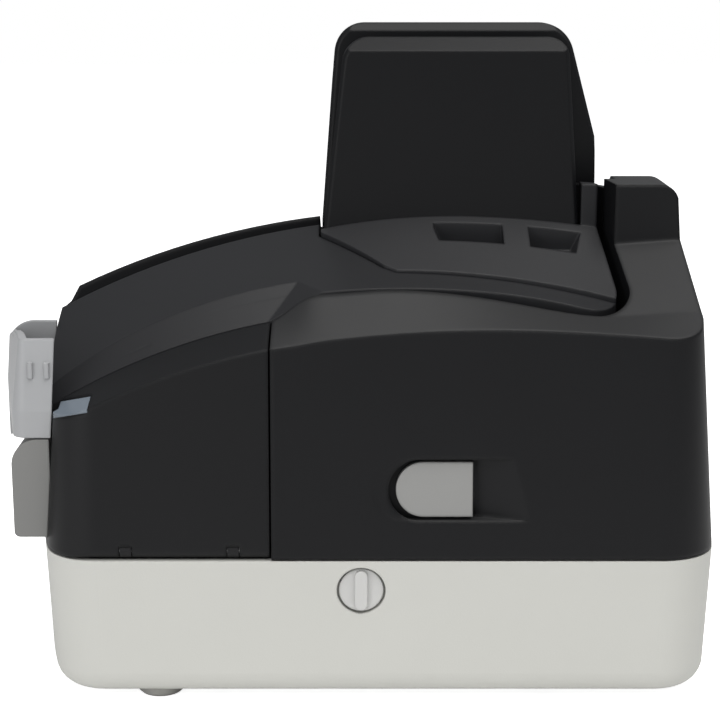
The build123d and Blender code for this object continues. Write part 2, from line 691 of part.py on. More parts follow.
# --- Cover hinge pin, standing in the chassis plate -----------------------------------------
with BuildPart() as cover_hinge_pin:
    with BuildSketch(Plane.XY.offset(CHASSIS_Z)):
        with Locations(PIVOT):
            Circle(PIVOT_PIN_R)
    extrude(amount=PIVOT_TOP_Z - 1 - CHASSIS_Z)
    chamfer(cover_hinge_pin.edges().group_by(Axis.Z)[-1], 0.6)

# --- Front door on its bottom hinge ----------------------------------------------------------
axis_x, axis_z = DOOR_AXIS
LUG_YS = (-58.0, -30.0)
LUG_W = 3.0
with BuildSketch() as door_plan:
    add(rect(LANE_B_OUT_X, FAR, -FAR, DOOR_SEAM_Y - PART_GAP / 2))
    add(rect(0, DOOR_FRONT_X, -FAR, BODY_FRONT_Y + 11), mode=Mode.SUBTRACT)
with BuildSketch() as door_hollow:
    add(rect(0, FAR, -FAR, DOOR_SEAM_Y - PART_GAP / 2 - WALL))
door_rear_y = DOOR_SEAM_Y - PART_GAP / 2
LENS_CORNER = (50.0, -76.0, 76.6)
LENS_LEAN = (0.23, 0.169)
LENS_H = 4.0
with BuildPart() as lens_layer:
    with BuildSketch(Plane(origin=LENS_CORNER, z_dir=(-LENS_LEAN[0], -LENS_LEAN[1], 1))):
        Rectangle(80, 80)
    extrude(amount=LENS_H)
lens_slab = lens_layer.part & box(DOOR_FRONT_X - 4, FAR, -FAR, DOOR_NOTCH_Y, 0, SKY)
with BuildPart() as front_door:
    add(shell(band_form(0), band_form(WALL), door_plan.sketch, door_hollow.sketch, rim_z))
    add(rod_y(axis_x, axis_z, DOOR_BEAD_R, -64, door_rear_y))
    clear = box(axis_x, axis_x + 5, -FAR, 0, SEAM_Z, axis_z) - rod_y(axis_x, axis_z, DOOR_BEAD_R, -FAR, 0)
    add(clear, mode=Mode.SUBTRACT)
    for y in LUG_YS:
        y_a, y_b = y - LUG_W / 2 - FIT, y + LUG_W / 2 + FIT
        add(rod_y(axis_x, axis_z, DOOR_BEAD_R + FIT, y_a, y_b), mode=Mode.SUBTRACT)
        add(box(axis_x - 6, axis_x, y_a, y_b, SEAM_Z, axis_z + DOOR_BEAD_R + FIT), mode=Mode.SUBTRACT)
    add(rod_y(axis_x, axis_z, DOOR_PIN_R + RUN, -63, door_rear_y - 1.5), mode=Mode.SUBTRACT)
    add(lens_slab, mode=Mode.SUBTRACT)

with BuildPart() as door_hinge_lugs:
    for y in LUG_YS:
        add(rod_y(axis_x, axis_z, DOOR_BEAD_R, y - LUG_W / 2, y + LUG_W / 2))
        add(box(54, axis_x, y - LUG_W / 2, y + LUG_W / 2, SEAM_Z + 0.3, axis_z + DOOR_BEAD_R))
        add(box(54, 57.2, y - LUG_W / 2, y + LUG_W / 2, chassis_top, SEAM_Z + 0.3))
    add(rod_y(axis_x, axis_z, DOOR_PIN_R, -FAR, FAR), mode=Mode.SUBTRACT)

with BuildPart() as door_hinge_pin:
    add(rod_y(axis_x, axis_z, DOOR_PIN_R, -62.5, door_rear_y - 2))

with BuildPart() as status_lens:
    add(solid_block & band_form(0) & prism(SEAM_Z, SKY, door_plan.sketch) & lens_slab)
    add(hollow_block & band_form(WALL), mode=Mode.SUBTRACT)

# --- Top cover: crowned deck with the step band and the lip over the scanning lane -----------
deck_plan = deck_outline()
with BuildSketch() as deck_hollow:
    add(rect(LANE_A_X + WALL, LANE_B_IN_X - WALL, -FAR, TURN_IN_Y - WALL))
    add(feed_outline(-PART_GAP - WALL), mode=Mode.SUBTRACT)
    add(island_outline(WALL, -FAR), mode=Mode.INTERSECT)
with BuildPart() as step_cut:
    foot_y = [(y, crown(BAND_EDGE, y) + STEP_FOOT_RISE) for y in (-95.0, -37.0, 20.0)]
    with BuildSketch(Plane.YZ.offset(DECK_LIP_X + STEP_FOOT_OUT)):
        with BuildLine():
            ThreePointArc(*foot_y)
            Polyline(foot_y[-1], (20.0, SKY), (-95.0, SKY), foot_y[0])
        make_face()
    extrude(dir=(-1, 0, 1), amount=60)
foot_line = lambda y: crown(BAND_EDGE, y)
lip_underside = (roof(LANE_B_IN_X - 1, foot_line, DOOR_FRONT_X, foot_line, BAND_KNOTS, WALL - STEP_FOOT_RISE)
                 + box(LANE_B_IN_X - 1, DOOR_FRONT_X, 0, FAR, 0, SKIRT_Z))
with BuildPart() as above_ramp:
    with BuildSketch(Plane(origin=RAMP_FOOT, z_dir=RAMP_NORMAL)):
        Rectangle(400, 400)
    extrude(amount=200)
with BuildPart() as top_cover:
    add(solid_block & deck_form(0) & prism(SEAM_Z, SKY, deck_plan))
    add(deck_form(WALL) & prism(SEAM_Z - 20, SKY, deck_hollow.sketch), mode=Mode.SUBTRACT)
    add(deck_form(DECK_SEAT) & box(-5, LANE_B_IN_X + FIT, -FAR, FAR, 0, SKIRT_Z), mode=Mode.SUBTRACT)
    add(lip_underside & box(LANE_B_IN_X, DOOR_FRONT_X, -FAR, FAR, 0, SKIRT_Z), mode=Mode.SUBTRACT)
    add(step_cut.part & above_ramp.part, mode=Mode.SUBTRACT)

# --- Front panel under the deck, with the exit slot -------------------------------------------
with BuildPart() as front_panel:
    panel_zone = box(RIM_X + 0.3, LANE_B_OUT_X - 1, -FAR, -70, SEAM_Z, SKY)
    low_form = deck_form(DECK_SEAT + 0.3) + (left_form(8) & box(-10, 1, -FAR, 0, 0, SKY))
    add((solid_block - hollow_block) & panel_zone & low_form)
    right_zone = box(LANE_B_OUT_X - 1.5, DOOR_FRONT_X - PART_GAP, -FAR, BODY_FRONT_Y + 10.5, SEAM_Z, SKY)
    band_low = box(0, 60, -FAR, 0, 0, 70)
    add((solid_block - hollow_block) & right_zone & band_low)
    add(box(20, LANE_B_OUT_X, -FAR, -60, 48, 66), mode=Mode.SUBTRACT)
    add(box(TONGUE_X - FIT, TONGUE_X + STOPPER_T + FIT, -FAR, -60, TONGUE_Z[0] - FIT, TONGUE_Z[1] + FIT),
        mode=Mode.SUBTRACT)
    add(box(LANE_B_IN_X, LANE_B_OUT_X, -FAR, -60, LANE_FLOOR_Z, SKY), mode=Mode.SUBTRACT)

# --- Feed cover: crowned island with two finger recesses, lifts straight off --------------------
PLATE_SEAT_Z = 104.0
POST_Y = 65.0
POST_TOP_Z = 132.5
WELL_X = (10.2, 19.2)
WELL_WALL = 1.6
WELL_FLOOR_Z = 114.2
WELL_RIM_Z = 121.0
WELLS = ((23.4, 42.6, 3.4, 0.0), (49.8, 65.4, 0.0, -3.4))


def well_form(well, grow):
    """Finger recess with leaning ends, or the wall round it when grown."""
    y0, y1, lean0, lean1 = well
    z_low = WELL_FLOOR_Z - grow
    with BuildPart() as form:
        with BuildSketch(Plane.YZ.offset(WELL_X[0] - grow)):
            with BuildLine():
                Polyline((y0 - grow + lean0, z_low), (y1 + grow + lean1, z_low), (y1 + grow, WELL_RIM_Z),
                         (y1 + grow, SKY), (y0 - grow, SKY), (y0 - grow, WELL_RIM_Z), close=True)
            make_face()
        extrude(amount=WELL_X[1] - WELL_X[0] + 2 * grow)
    return form.part


with BuildPart() as feed_cover:
    add(solid_block & island_form(0) & prism(SKIRT_Z, SKY, feed_outline()))
    add(island_form(WALL) & prism(SKIRT_Z - 1, SKY, feed_outline(WALL)), mode=Mode.SUBTRACT)
    for well in WELLS:
        add(well_form(well, WELL_WALL) & island_form(0) & prism(0, SKY, feed_outline()))
    for well in WELLS:
        add(well_form(well, 0), mode=Mode.SUBTRACT)
    add(prism(SKIRT_Z, POST_TOP_Z, rect(LANE_A_X, NEAR_PLATE_X, POST_Y, FAR) & island_outline()))
    add(box(-1, NEAR_PLATE_X, HOPPER_FRONT_Y - 1, POST_Y, PLATE_SEAT_Z, SKY), mode=Mode.SUBTRACT)


def slanted_off(points, y_low=-FAR, y_high=FAR):
    """Cutter with an outline given in the front view."""
    with BuildPart() as cutter:
        with BuildSketch(Plane.XZ.offset(-y_low)):
            with BuildLine():
                Polyline(*points, close=True)
            make_face()
        extrude(amount=-(y_high - y_low))
    return cutter.part


with BuildPart() as near_guide_plate:
    add(side_shape(LANE_A_X, NEAR_PLATE_X, [
        (-7.8, PLATE_SEAT_Z, 0), (-7.1, 120.7, 0), (-3.1, 156.5, 0), (-1.2, PLATE_TOP_Z, 7.5),
        (60.4, PLATE_TOP_Z, 5.5), (63.1, 138.0, 0), (64.3, 122.0, 0), (64.8, PLATE_SEAT_Z, 0)]))
    face_edges = near_guide_plate.faces().sort_by(Axis.X)[-1].edges()
    chamfer(face_edges.filter_by(lambda e: e.center().Z > PLATE_SEAT_Z + 1), PLATE_EDGE)
    add(slanted_off([(LANE_A_X + 1.2, PLATE_TOP_Z), (NEAR_PLATE_X, PLATE_TOP_Z - 3.6),
                     (20, PLATE_TOP_Z - 3.6), (20, SKY), (LANE_A_X + 1.2, SKY)]), mode=Mode.SUBTRACT)
    add(prism(0, SKY, everywhere - island_outline(front_y=-FAR)), mode=Mode.SUBTRACT)

# --- Far guide plate: the tall back wall of the hopper -------------------------------------------
PUSHER_Y = (2.0, 30.0)
PUSHER_Z = (52.0, 112.0)
PUSHER_T = 1.8
with BuildPart() as far_guide_plate:
    add(side_shape(FAR_PLATE_X, HOPPER_X, [
        (HOPPER_FRONT_Y, LANE_FLOOR_Z, 0), (HOPPER_FRONT_Y, 120, 0), (-5.0, 160, 0), (-3.6, FAR_TOP_Z, 8.5),
        (61.8, FAR_TOP_Z, 10.0), (70.7, 144, 0), (71.0, 132, 0), (71.0, LANE_FLOOR_Z, 0)]))
    face_edges = far_guide_plate.faces().sort_by(Axis.X)[-1].edges()
    chamfer(face_edges.filter_by(lambda e: e.center().Z > 150), PLATE_EDGE)
    add(slanted_off([(HOPPER_X - 1.5, 176.3), (HOPPER_X + 1, 172.5), (HOPPER_X + 1, 180), (HOPPER_X - 1.5, 180)]),
        mode=Mode.SUBTRACT)
    add(box(HOPPER_X - PUSHER_T - 0.4, 0, PUSHER_Y[0] - 0.4, PUSHER_Y[1] + 0.4, PUSHER_Z[0] - 0.4,
            PUSHER_Z[1] + 0.4), mode=Mode.SUBTRACT)
    for low, high in ROLLER_BANDS:
        add(box(-30, 0, RETARD[1] - RETARD_R - 0.6, RETARD[1] + RETARD_R + 0.6, low - 0.6, high + 0.6),
            mode=Mode.SUBTRACT)
    with BuildSketch(Plane.YZ.offset(-30)):
        with Locations(((PUSHER_Y[0] + PUSHER_Y[1]) / 2, 66), ((PUSHER_Y[0] + PUSHER_Y[1]) / 2, 98)):
            Circle(2.0 + RUN)
    extrude(amount=30, mode=Mode.SUBTRACT)
    with BuildSketch(Plane.XY.offset(LANE_FLOOR_Z)):
        with Locations(RETARD):
            Circle(SHAFT_R)
    extrude(amount=SKIRT_Z + 2 - LANE_FLOOR_Z, mode=Mode.SUBTRACT)

with BuildPart() as pusher_plate:
    add(box(HOPPER_X - PUSHER_T, HOPPER_X + 0.2, *PUSHER_Y, *PUSHER_Z))
    fillet(pusher_plate.edges().filter_by(Axis.X), 2.0)

with BuildPart() as pusher_pins:
    with BuildSketch(Plane.YZ.offset(HOPPER_X - PUSHER_T - 9.6)):
        with Locations(((PUSHER_Y[0] + PUSHER_Y[1]) / 2, 66), ((PUSHER_Y[0] + PUSHER_Y[1]) / 2, 98)):
            Circle(2.0)
    extrude(amount=9.6)

# --- Corner guide behind the hopper ----------------------------------------------------------------
with BuildPart() as corner_guide:
    with BuildSketch(Plane.XY.offset(LANE_FLOOR_Z)):
        with BuildLine():
            turn_r = TURN_OUT_R[0]
            turn_x = TURN_LEFT_X + turn_r
            turn_y = lane_wall(turn_x, TURN_OUT_Y) - turn_r * math.sqrt(1 + TURN_SLANT**2)
            start = 90 + math.degrees(math.atan(TURN_SLANT))
            inner = CenterArc((turn_x, turn_y), turn_r, start, 180 - start)
            outer = CenterArc((turn_x, turn_y), turn_r + GUIDE_T, start, 180 - start)
            Line(inner @ 0, outer @ 0)
            Line(inner @ 1, outer @ 1)
        make_face()
    extrude(amount=GUIDE_TOP_Z - LANE_FLOOR_Z)

# --- Front guide of the scanning lane, behind the door ------------------------------------------------
SENSOR_Y = (-58.0, -48.0)
SENSOR_Z = (48.2, 81.8)
with BuildPart() as front_guide:
    add(box(LANE_B_OUT_X, LANE_B_OUT_X + GUIDE_T, GUIDE_FRONT_Y, GUIDE_END_Y, LANE_FLOOR_Z, SKY)
        & band_form(WALL + 0.4))
    for low, high in ROLLER_BANDS:
        add(box(LANE_B_IN_X, 60, FRONT_DRIVE[1] - 7, FRONT_DRIVE[1] + 7, low - 1, high + 1), mode=Mode.SUBTRACT)
    add(box(LANE_B_IN_X, 60, *SENSOR_Y, *SENSOR_Z), mode=Mode.SUBTRACT)
    add(solid_block, mode=Mode.INTERSECT)

with BuildPart() as outer_image_sensor:
    add(box(LANE_B_OUT_X, LANE_B_OUT_X + 8, *SENSOR_Y, *SENSOR_Z))
    chamfer(outer_image_sensor.edges().filter_by(Axis.Z).group_by(Axis.X)[0], 0.6)

with BuildPart() as inner_image_sensor:
    add(box(33, LANE_B_IN_X, *SENSOR_Y, *SENSOR_Z))
    chamfer(inner_image_sensor.edges().filter_by(Axis.Z).group_by(Axis.X)[-1], 0.6)
    add(box(33, LANE_B_IN_X - 2, SENSOR_Y[0] + 2, SENSOR_Y[1] - 2, LANE_FLOOR_Z, SENSOR_Z[0]))

with BuildPart() as magnetic_head:
    add(box(34, LANE_B_IN_X + 0.4, -9, -1, 52, 66))
    fillet(magnetic_head.edges().filter_by(Axis.Z).group_by(Axis.X)[-1], 2.0)
    add(box(34, 38, -7, -3, LANE_FLOOR_Z, 52))

# --- Rollers, shafts, pulleys and belts -----------------------------------------------------------------


def roller_stack(place, radius):
    """Two rubber rollers on one shaft, with eased rims."""
    x, y = place
    with BuildPart() as stack:
        for low, high in ROLLER_BANDS:
            with BuildSketch(Plane.XZ.offset(-y)):
                with BuildLine():
                    Polyline((x + SHAFT_R, high), (x + SHAFT_R, low), (x + radius - 0.5, low),
                             (x + radius, low + 1.5), (x + radius, high - 1.5), (x + radius - 0.5, high), close=True)
                make_face()
            revolve(axis=Axis((x, y, 0), (0, 0, 1)))
    return stack.part


def drive_shaft(place, low_z):
    x, y = place
    with BuildPart() as shaft:
        add(rod(x, y, SHAFT_R, low_z, SHAFT_TOP_Z))
        chamfer(shaft.edges().group_by(Axis.Z)[-1], 0.4)
    return shaft.part


def pulley(place, planes, bore=SHAFT_R):
    """Flanged belt pulley for each belt plane."""
    x, y = place
    with BuildPart() as wheel:
        for low, high in planes:
            add(rod(x, y, PULLEY_R, low, high))
            add(rod(x, y, PULLEY_R + 1, low - 0.6, low))
            add(rod(x, y, PULLEY_R + 1, high, high + 0.6))
        if len(planes) > 1:
            add(rod(x, y, PULLEY_R - 1, planes[0][0], planes[-1][1]))
        add(rod(x, y, bore, 0, SKY), mode=Mode.SUBTRACT)
    return wheel.part


def belt(places, plane):
    """Flat belt round a set of pulleys, clear of each by the belt gap."""
    low, high = plane
    loops = []
    for radius in (PULLEY_R + BELT_GAP + BELT_T, PULLEY_R + BELT_GAP):
        with BuildSketch(Plane.XY.offset(low + 0.4)) as loop:
            with Locations(*places):
                Circle(radius)
            make_hull()
        loops.append(loop.sketch)
    with BuildPart() as band:
        add(loops[0] - loops[1])
        extrude(amount=high - low - 0.8)
    return band.part


with BuildPart() as pick_roller:
    add(roller_stack(PICK, FEED_ROLLER_R))
with BuildPart() as pick_shaft:
    add(drive_shaft(PICK, PICK_BELT_Z[0] - 1))
with BuildPart() as pick_pulley:
    add(pulley(PICK, [PICK_BELT_Z]))
with BuildPart() as feed_roller:
    add(roller_stack(FEED, FEED_ROLLER_R))
with BuildPart() as feed_shaft:
    add(drive_shaft(FEED, PICK_BELT_Z[0] - 1))
with BuildPart() as feed_pulley:
    add(pulley(FEED, [PICK_BELT_Z, MAIN_BELT_Z]))
with BuildPart() as rear_drive_roller:
    add(roller_stack(REAR_DRIVE, DRIVE_ROLLER_R))
with BuildPart() as rear_drive_shaft:
    add(drive_shaft(REAR_DRIVE, SHAFT_LOW_Z))
with BuildPart() as rear_drive_pulley:
    add(pulley(REAR_DRIVE, [MAIN_BELT_Z]))
with BuildPart() as front_drive_roller:
    add(roller_stack(FRONT_DRIVE, DRIVE_ROLLER_R))
with BuildPart() as front_drive_shaft:
    add(drive_shaft(FRONT_DRIVE, SHAFT_LOW_Z))
with BuildPart() as front_drive_pulley:
    add(pulley(FRONT_DRIVE, [MAIN_BELT_Z]))

with BuildPart() as main_belt:
    add(belt((MOTOR, FEED, REAR_DRIVE, FRONT_DRIVE), MAIN_BELT_Z))
with BuildPart() as pick_belt:
    add(belt((PICK, FEED), PICK_BELT_Z))

with BuildPart() as drive_motor:
    with BuildSketch(Plane.XY.offset(chassis_top)):
        with Locations(MOTOR):
            Circle(16)
            Circle(2.4, mode=Mode.SUBTRACT)
    extrude(amount=34)
    with BuildSketch(Plane.XY.offset(chassis_top)):
        with Locations(MOTOR):
            Rectangle(30, 30)
            Circle(12, mode=Mode.SUBTRACT)
    extrude(amount=3)

with BuildPart() as motor_pulley:
    add(pulley(MOTOR, [MAIN_BELT_Z], 2.0))
with BuildPart() as motor_shaft:
    add(rod(*MOTOR, 2.0, MAIN_BELT_Z[0] - 1, chassis_top + 20))

with BuildPart() as retard_roller:
    add(roller_stack(RETARD, RETARD_R))
with BuildPart() as retard_shaft:
    add(rod(*RETARD, SHAFT_R - RUN, CHASSIS_Z, SKIRT_Z + 2))


def idler(x, y):
    with BuildPart() as wheel:
        for low, high in ROLLER_BANDS:
            add(rod(x, y, IDLER_R, low + 0.5, high - 0.5))
        add(rod(x, y, 1.5 + RUN, 0, SKY), mode=Mode.SUBTRACT)
    return wheel.part


with BuildPart() as front_idler:
    add(idler(IDLER_X, FRONT_DRIVE[1]))
with BuildPart() as rear_idler:
    add(idler(IDLER_X, REAR_DRIVE[1]))
with BuildPart() as front_idler_pin:
    add(rod(IDLER_X, FRONT_DRIVE[1], 1.5, LANE_FLOOR_Z, 91))
    add(box(LANE_B_OUT_X + GUIDE_T, 51, FRONT_DRIVE[1] - 4, FRONT_DRIVE[1] + 4, 89, 91))
with BuildPart() as rear_idler_pin:
    add(rod(IDLER_X, REAR_DRIVE[1], 1.5, 50, 92))
    for z in (50, 90):
        add(box(LANE_B_OUT_X + WALL, 51, REAR_DRIVE[1] - 4, REAR_DRIVE[1] + 4, z, z + 2))

# --- Exit pocket -------------------------------------------------------------------------------------------
with BuildPart() as exit_tray:
    add(side_shape(*TRAY_X, [(-79, TRAY_Z[0], 0), (TRAY_FRONT_Y, TRAY_Z[0], 1.5), (TRAY_FRONT_Y, TRAY_Z[1], 7.0),
                             (-79, TRAY_Z[1], 0)]))
    add(solid_block, mode=Mode.SUBTRACT)


def stopper_plan(z, inset):
    """Plan of the stopper: a slanted front wall between the far and the near wall."""
    near_x, near_y = STOPPER_NEAR
    x0, x1 = TONGUE_X + inset, near_x - inset
    y0, y1 = -BODY_REAR_Y - STOPPER_REACH + inset, near_y + inset
    with BuildSketch(Plane.XY.offset(z)) as plan:
        with BuildLine():
            Polyline((x0, -60), (x0, y0), (x1, y1), (x1, -60), close=True)
        make_face()
        fillet(plan.vertices().sort_by_distance((x0, y0))[0], STOPPER_CORNER_R - inset)
        fillet(plan.vertices().sort_by_distance((x1, y1))[0], STOPPER_CORNER_R - inset)
    return plan.sketch


def stopper_form(z_low, inset):
    """Upright below the crease, tapered above it."""
    with BuildPart() as form:
        add(stopper_plan(STOPPER_CREASE_Z, inset))
        add(stopper_plan(STOPPER_Z[1], inset + STOPPER_TAPER))
        loft(ruled=True)
        add(stopper_plan(z_low, inset))
        extrude(amount=STOPPER_CREASE_Z - z_low)
    return form.part


FAR_WALL_TOP_Z = 94.0
FAR_ROUND_R = 8.0
with BuildPart() as exit_stopper:
    add(stopper_form(STOPPER_Z[0], 0.0))
    for y in GRIP_YS:
        add(box(44, 49.4, y - 0.65, y + 0.65, 86.8, 91.0))
    add(stopper_form(STOPPER_Z[0], STOPPER_T), mode=Mode.SUBTRACT)
    add(box(TRAY_X[0] - PART_GAP, 60, -FAR, 0, 0, TRAY_Z[1] + PART_GAP), mode=Mode.SUBTRACT)
    add(slanted_off([(0, FAR_WALL_TOP_Z), (18, FAR_WALL_TOP_Z), (40, STOPPER_Z[1] + 0.1), (40, SKY), (0, SKY)]),
        mode=Mode.SUBTRACT)
    round_y, round_z = -BODY_REAR_Y + FAR_ROUND_R, FAR_WALL_TOP_Z - FAR_ROUND_R
    with BuildSketch(Plane.YZ) as far_round:
        with Locations((round_y - 10, round_z + 10)):
            Rectangle(20, 20)
        with Locations((round_y, round_z)):
            Circle(FAR_ROUND_R, mode=Mode.SUBTRACT)
    extrude(amount=30, mode=Mode.SUBTRACT)
    add(upper_block(-0.3), mode=Mode.SUBTRACT)
    add(box(TONGUE_X, TONGUE_X + STOPPER_T, -92, -46, *TONGUE_Z))

# --- Separation dial and its cam ------------------------------------------------------------------------------
dial_low_x = DIAL_FLOOR_X + FIT
dial_mid_x = DIAL_FACE_X - 1.0
with BuildPart() as separation_dial:
    with BuildSketch(Plane.YZ.offset(dial_low_x)):
        with Locations((DIAL_Y, DIAL_Z)):
            Circle(DIAL_R)
    extrude(amount=dial_mid_x - dial_low_x)
    with BuildSketch(Plane.YZ.offset(dial_mid_x)) as grip:
        with Locations((DIAL_Y, DIAL_Z)):
            SlotOverall(2 * DIAL_R - 0.8, 3.4, rotation=90)
    extrude(amount=DIAL_FACE_X - dial_mid_x)
    with BuildSketch(Plane.YZ.offset(48)):
        with Locations((DIAL_Y, DIAL_Z)):
            Circle(DIAL_SHAFT_R)
    extrude(amount=dial_low_x - 48)

with BuildPart() as dial_cam:
    with BuildSketch(Plane.YZ.offset(49)):
        with Locations((DIAL_Y, DIAL_Z)):
            Circle(4.2)
        with Locations((DIAL_Y, DIAL_Z + 1.2)):
            Circle(3.6)
        with Locations((DIAL_Y, DIAL_Z)):
            Circle(DIAL_SHAFT_R, mode=Mode.SUBTRACT)
    extrude(amount=4)

# --- Board, sockets and power button ---------------------------------------------------------------------------
with BuildPart() as main_board:
    add(box(*BOARD, BOARD_Z, BOARD_Z + BOARD_T))
    board_top = BOARD_Z + BOARD_T
    for x0, x1, y0, y1, h in ((-36, -18, -20, -2, 2.2), (-8, 6, -30, -16, 1.6), (-40, -30, 8, 28, 5.0),
                              (-10, 8, 10, 18, 6.0), (-30, -20, -44, -30, 3.0)):
        add(box(x0, x1, y0, y1, board_top, board_top + h))

with BuildPart() as dc_socket:
    add(box(DC_X - 6, DC_X + 6, 78, 93.7, board_top, PORT_Z + 6))
    with BuildSketch(Plane.XZ.offset(-96.2)):
        with Locations((DC_X, PORT_Z)):
            Circle(4.8)
    extrude(amount=2.6)
    with BuildSketch(Plane.XZ.offset(-96.4)):
        with Locations((DC_X, PORT_Z)):
            Circle(3.2)
            Circle(1.0, mode=Mode.SUBTRACT)
    extrude(amount=11, mode=Mode.SUBTRACT)

with BuildPart() as usb_socket:
    add(box(USB_X - 6, USB_X + 6, 78, 96.2, PORT_Z - 5.5, PORT_Z + 5.5))
    add(box(USB_X - 4.3, USB_X + 4.3, 84, 97, PORT_Z - 4, PORT_Z + 4), mode=Mode.SUBTRACT)
    add(box(USB_X - 2.8, USB_X + 2.8, 83.5, 94, PORT_Z - 1.6, PORT_Z + 1.6))
    add(box(USB_X - 6, USB_X + 6, 78, 90, board_top, PORT_Z - 5.5))

with BuildPart() as power_button:
    with BuildSketch(Plane.XZ.offset(-97.2)):
        with Locations((POWER_X, PORT_Z)):
            Circle(POWER_R)
    extrude(amount=7)
    chamfer(power_button.edges().group_by(Axis.Y)[-1], 0.6)

pieces = {
    "base_housing": base_housing, "rubber_feet": rubber_feet, "cover_screws": cover_screws,
    "chassis_plate": chassis_plate, "shaft_bushings": shaft_bushings, "centre_frame": centre_frame,
    "bearing_plate": bearing_plate, "left_housing": left_housing, "outer_cover": outer_cover,
    "open_slide": open_slide, "latch_bar": latch_bar, "cover_hinge_pin": cover_hinge_pin,
    "front_door": front_door, "door_hinge_lugs": door_hinge_lugs, "door_hinge_pin": door_hinge_pin,
    "status_lens": status_lens, "top_cover": top_cover, "front_panel": front_panel,
    "feed_cover": feed_cover, "near_guide_plate": near_guide_plate, "far_guide_plate": far_guide_plate,
    "pusher_plate": pusher_plate, "pusher_pins": pusher_pins, "corner_guide": corner_guide,
    "front_guide": front_guide, "outer_image_sensor": outer_image_sensor,
    "inner_image_sensor": inner_image_sensor, "magnetic_head": magnetic_head,
    "pick_roller": pick_roller, "pick_shaft": pick_shaft, "pick_pulley": pick_pulley,
    "feed_roller": feed_roller, "feed_shaft": feed_shaft, "feed_pulley": feed_pulley,
    "rear_drive_roller": rear_drive_roller, "rear_drive_shaft": rear_drive_shaft,
    "rear_drive_pulley": rear_drive_pulley, "front_drive_roller": front_drive_roller,
    "front_drive_shaft": front_drive_shaft, "front_drive_pulley": front_drive_pulley,
    "main_belt": main_belt, "pick_belt": pick_belt, "drive_motor": drive_motor,
    "motor_pulley": motor_pulley, "motor_shaft": motor_shaft, "retard_roller": retard_roller,
    "retard_shaft": retard_shaft, "front_idler": front_idler, "rear_idler": rear_idler,
    "front_idler_pin": front_idler_pin, "rear_idler_pin": rear_idler_pin, "exit_tray": exit_tray,
    "exit_stopper": exit_stopper, "separation_dial": separation_dial, "dial_cam": dial_cam,
    "main_board": main_board, "dc_socket": dc_socket, "usb_socket": usb_socket,
    "power_button": power_button,
}
for node, piece in pieces.items():
    piece.part.label = node
    export_step(piece.part, f"parts/{node}.step")
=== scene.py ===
import bpy
import bmesh
import math
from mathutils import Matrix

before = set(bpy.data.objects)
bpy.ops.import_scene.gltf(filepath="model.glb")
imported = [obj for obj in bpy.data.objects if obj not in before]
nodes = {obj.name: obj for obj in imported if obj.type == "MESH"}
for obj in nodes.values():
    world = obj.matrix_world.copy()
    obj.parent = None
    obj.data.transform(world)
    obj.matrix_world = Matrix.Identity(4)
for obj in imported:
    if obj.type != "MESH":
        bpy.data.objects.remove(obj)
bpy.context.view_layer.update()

# ---------------------------------------------------------------------------
# Studio: a pale table under a white sky, one broad soft lamp overhead and a
# weaker one beside the exit pocket, and an 85 mm camera square to the side
# that opens, looking 13 degrees down.
# ---------------------------------------------------------------------------
LENS_MM = 85.0
FRAME_MM = 36.0
LOOK_DOWN_DEG = 13.0
camera_data = bpy.data.cameras.new("camera")
camera_data.lens = LENS_MM
camera_data.sensor_width = FRAME_MM
camera = bpy.data.objects.new("camera", camera_data)
camera.location = (0.4809, 0.003, 0.1915)
camera.rotation_euler = (math.radians(90.0 - LOOK_DOWN_DEG), 0.0, math.radians(90.0))
bpy.context.scene.collection.objects.link(camera)
bpy.context.scene.camera = camera
bpy.context.scene.view_settings.view_transform = "Standard"

SKY_FILL = 0.26
TABLE_WHITE = 0.86
TABLE_HALF = 3.0
world = bpy.data.worlds.new("studio")
bpy.context.scene.world = world
world.use_nodes = True
sky = world.node_tree
sky.nodes.clear()
sky_out = sky.nodes.new("ShaderNodeOutputWorld")
sky_path = sky.nodes.new("ShaderNodeLightPath")
sky_mix = sky.nodes.new("ShaderNodeMixShader")
sky_fill = sky.nodes.new("ShaderNodeBackground")
sky_fill.inputs["Color"].default_value = (0.95, 0.97, 1.0, 1.0)
sky_fill.inputs["Strength"].default_value = SKY_FILL
sky_white = sky.nodes.new("ShaderNodeBackground")
sky_white.inputs["Color"].default_value = (1.0, 1.0, 1.0, 1.0)
sky_white.inputs["Strength"].default_value = 1.0
sky.links.new(sky_path.outputs["Is Camera Ray"], sky_mix.inputs["Fac"])
sky.links.new(sky_fill.outputs["Background"], sky_mix.inputs[1])
sky.links.new(sky_white.outputs["Background"], sky_mix.inputs[2])
sky.links.new(sky_mix.outputs["Shader"], sky_out.inputs["Surface"])


def soft_lamp(name, place, aim, width, height, watts, tint):
    """Soft box at a place, turned towards a point."""
    data = bpy.data.lights.new(name, "AREA")
    data.shape = "RECTANGLE"
    data.size = width
    data.size_y = height
    data.energy = watts
    data.color = tint
    lamp = bpy.data.objects.new(name, data)
    lamp.location = place
    way = [aim[i] - place[i] for i in range(3)]
    flat = math.hypot(way[0], way[1])
    lamp.rotation_euler = (math.atan2(flat, -way[2]), 0.0, math.atan2(way[1], way[0]) - math.pi / 2)
    bpy.context.scene.collection.objects.link(lamp)


MID_BODY = (0.0, 0.0, 0.08)
soft_lamp("overhead", (0.30, 0.14, 0.95), MID_BODY, 1.0, 1.0, 12.5, (1.0, 0.99, 0.97))
soft_lamp("front_fill", (0.8, -0.75, 0.38), MID_BODY, 0.7, 0.6, 3.6, (1.0, 1.0, 1.0))

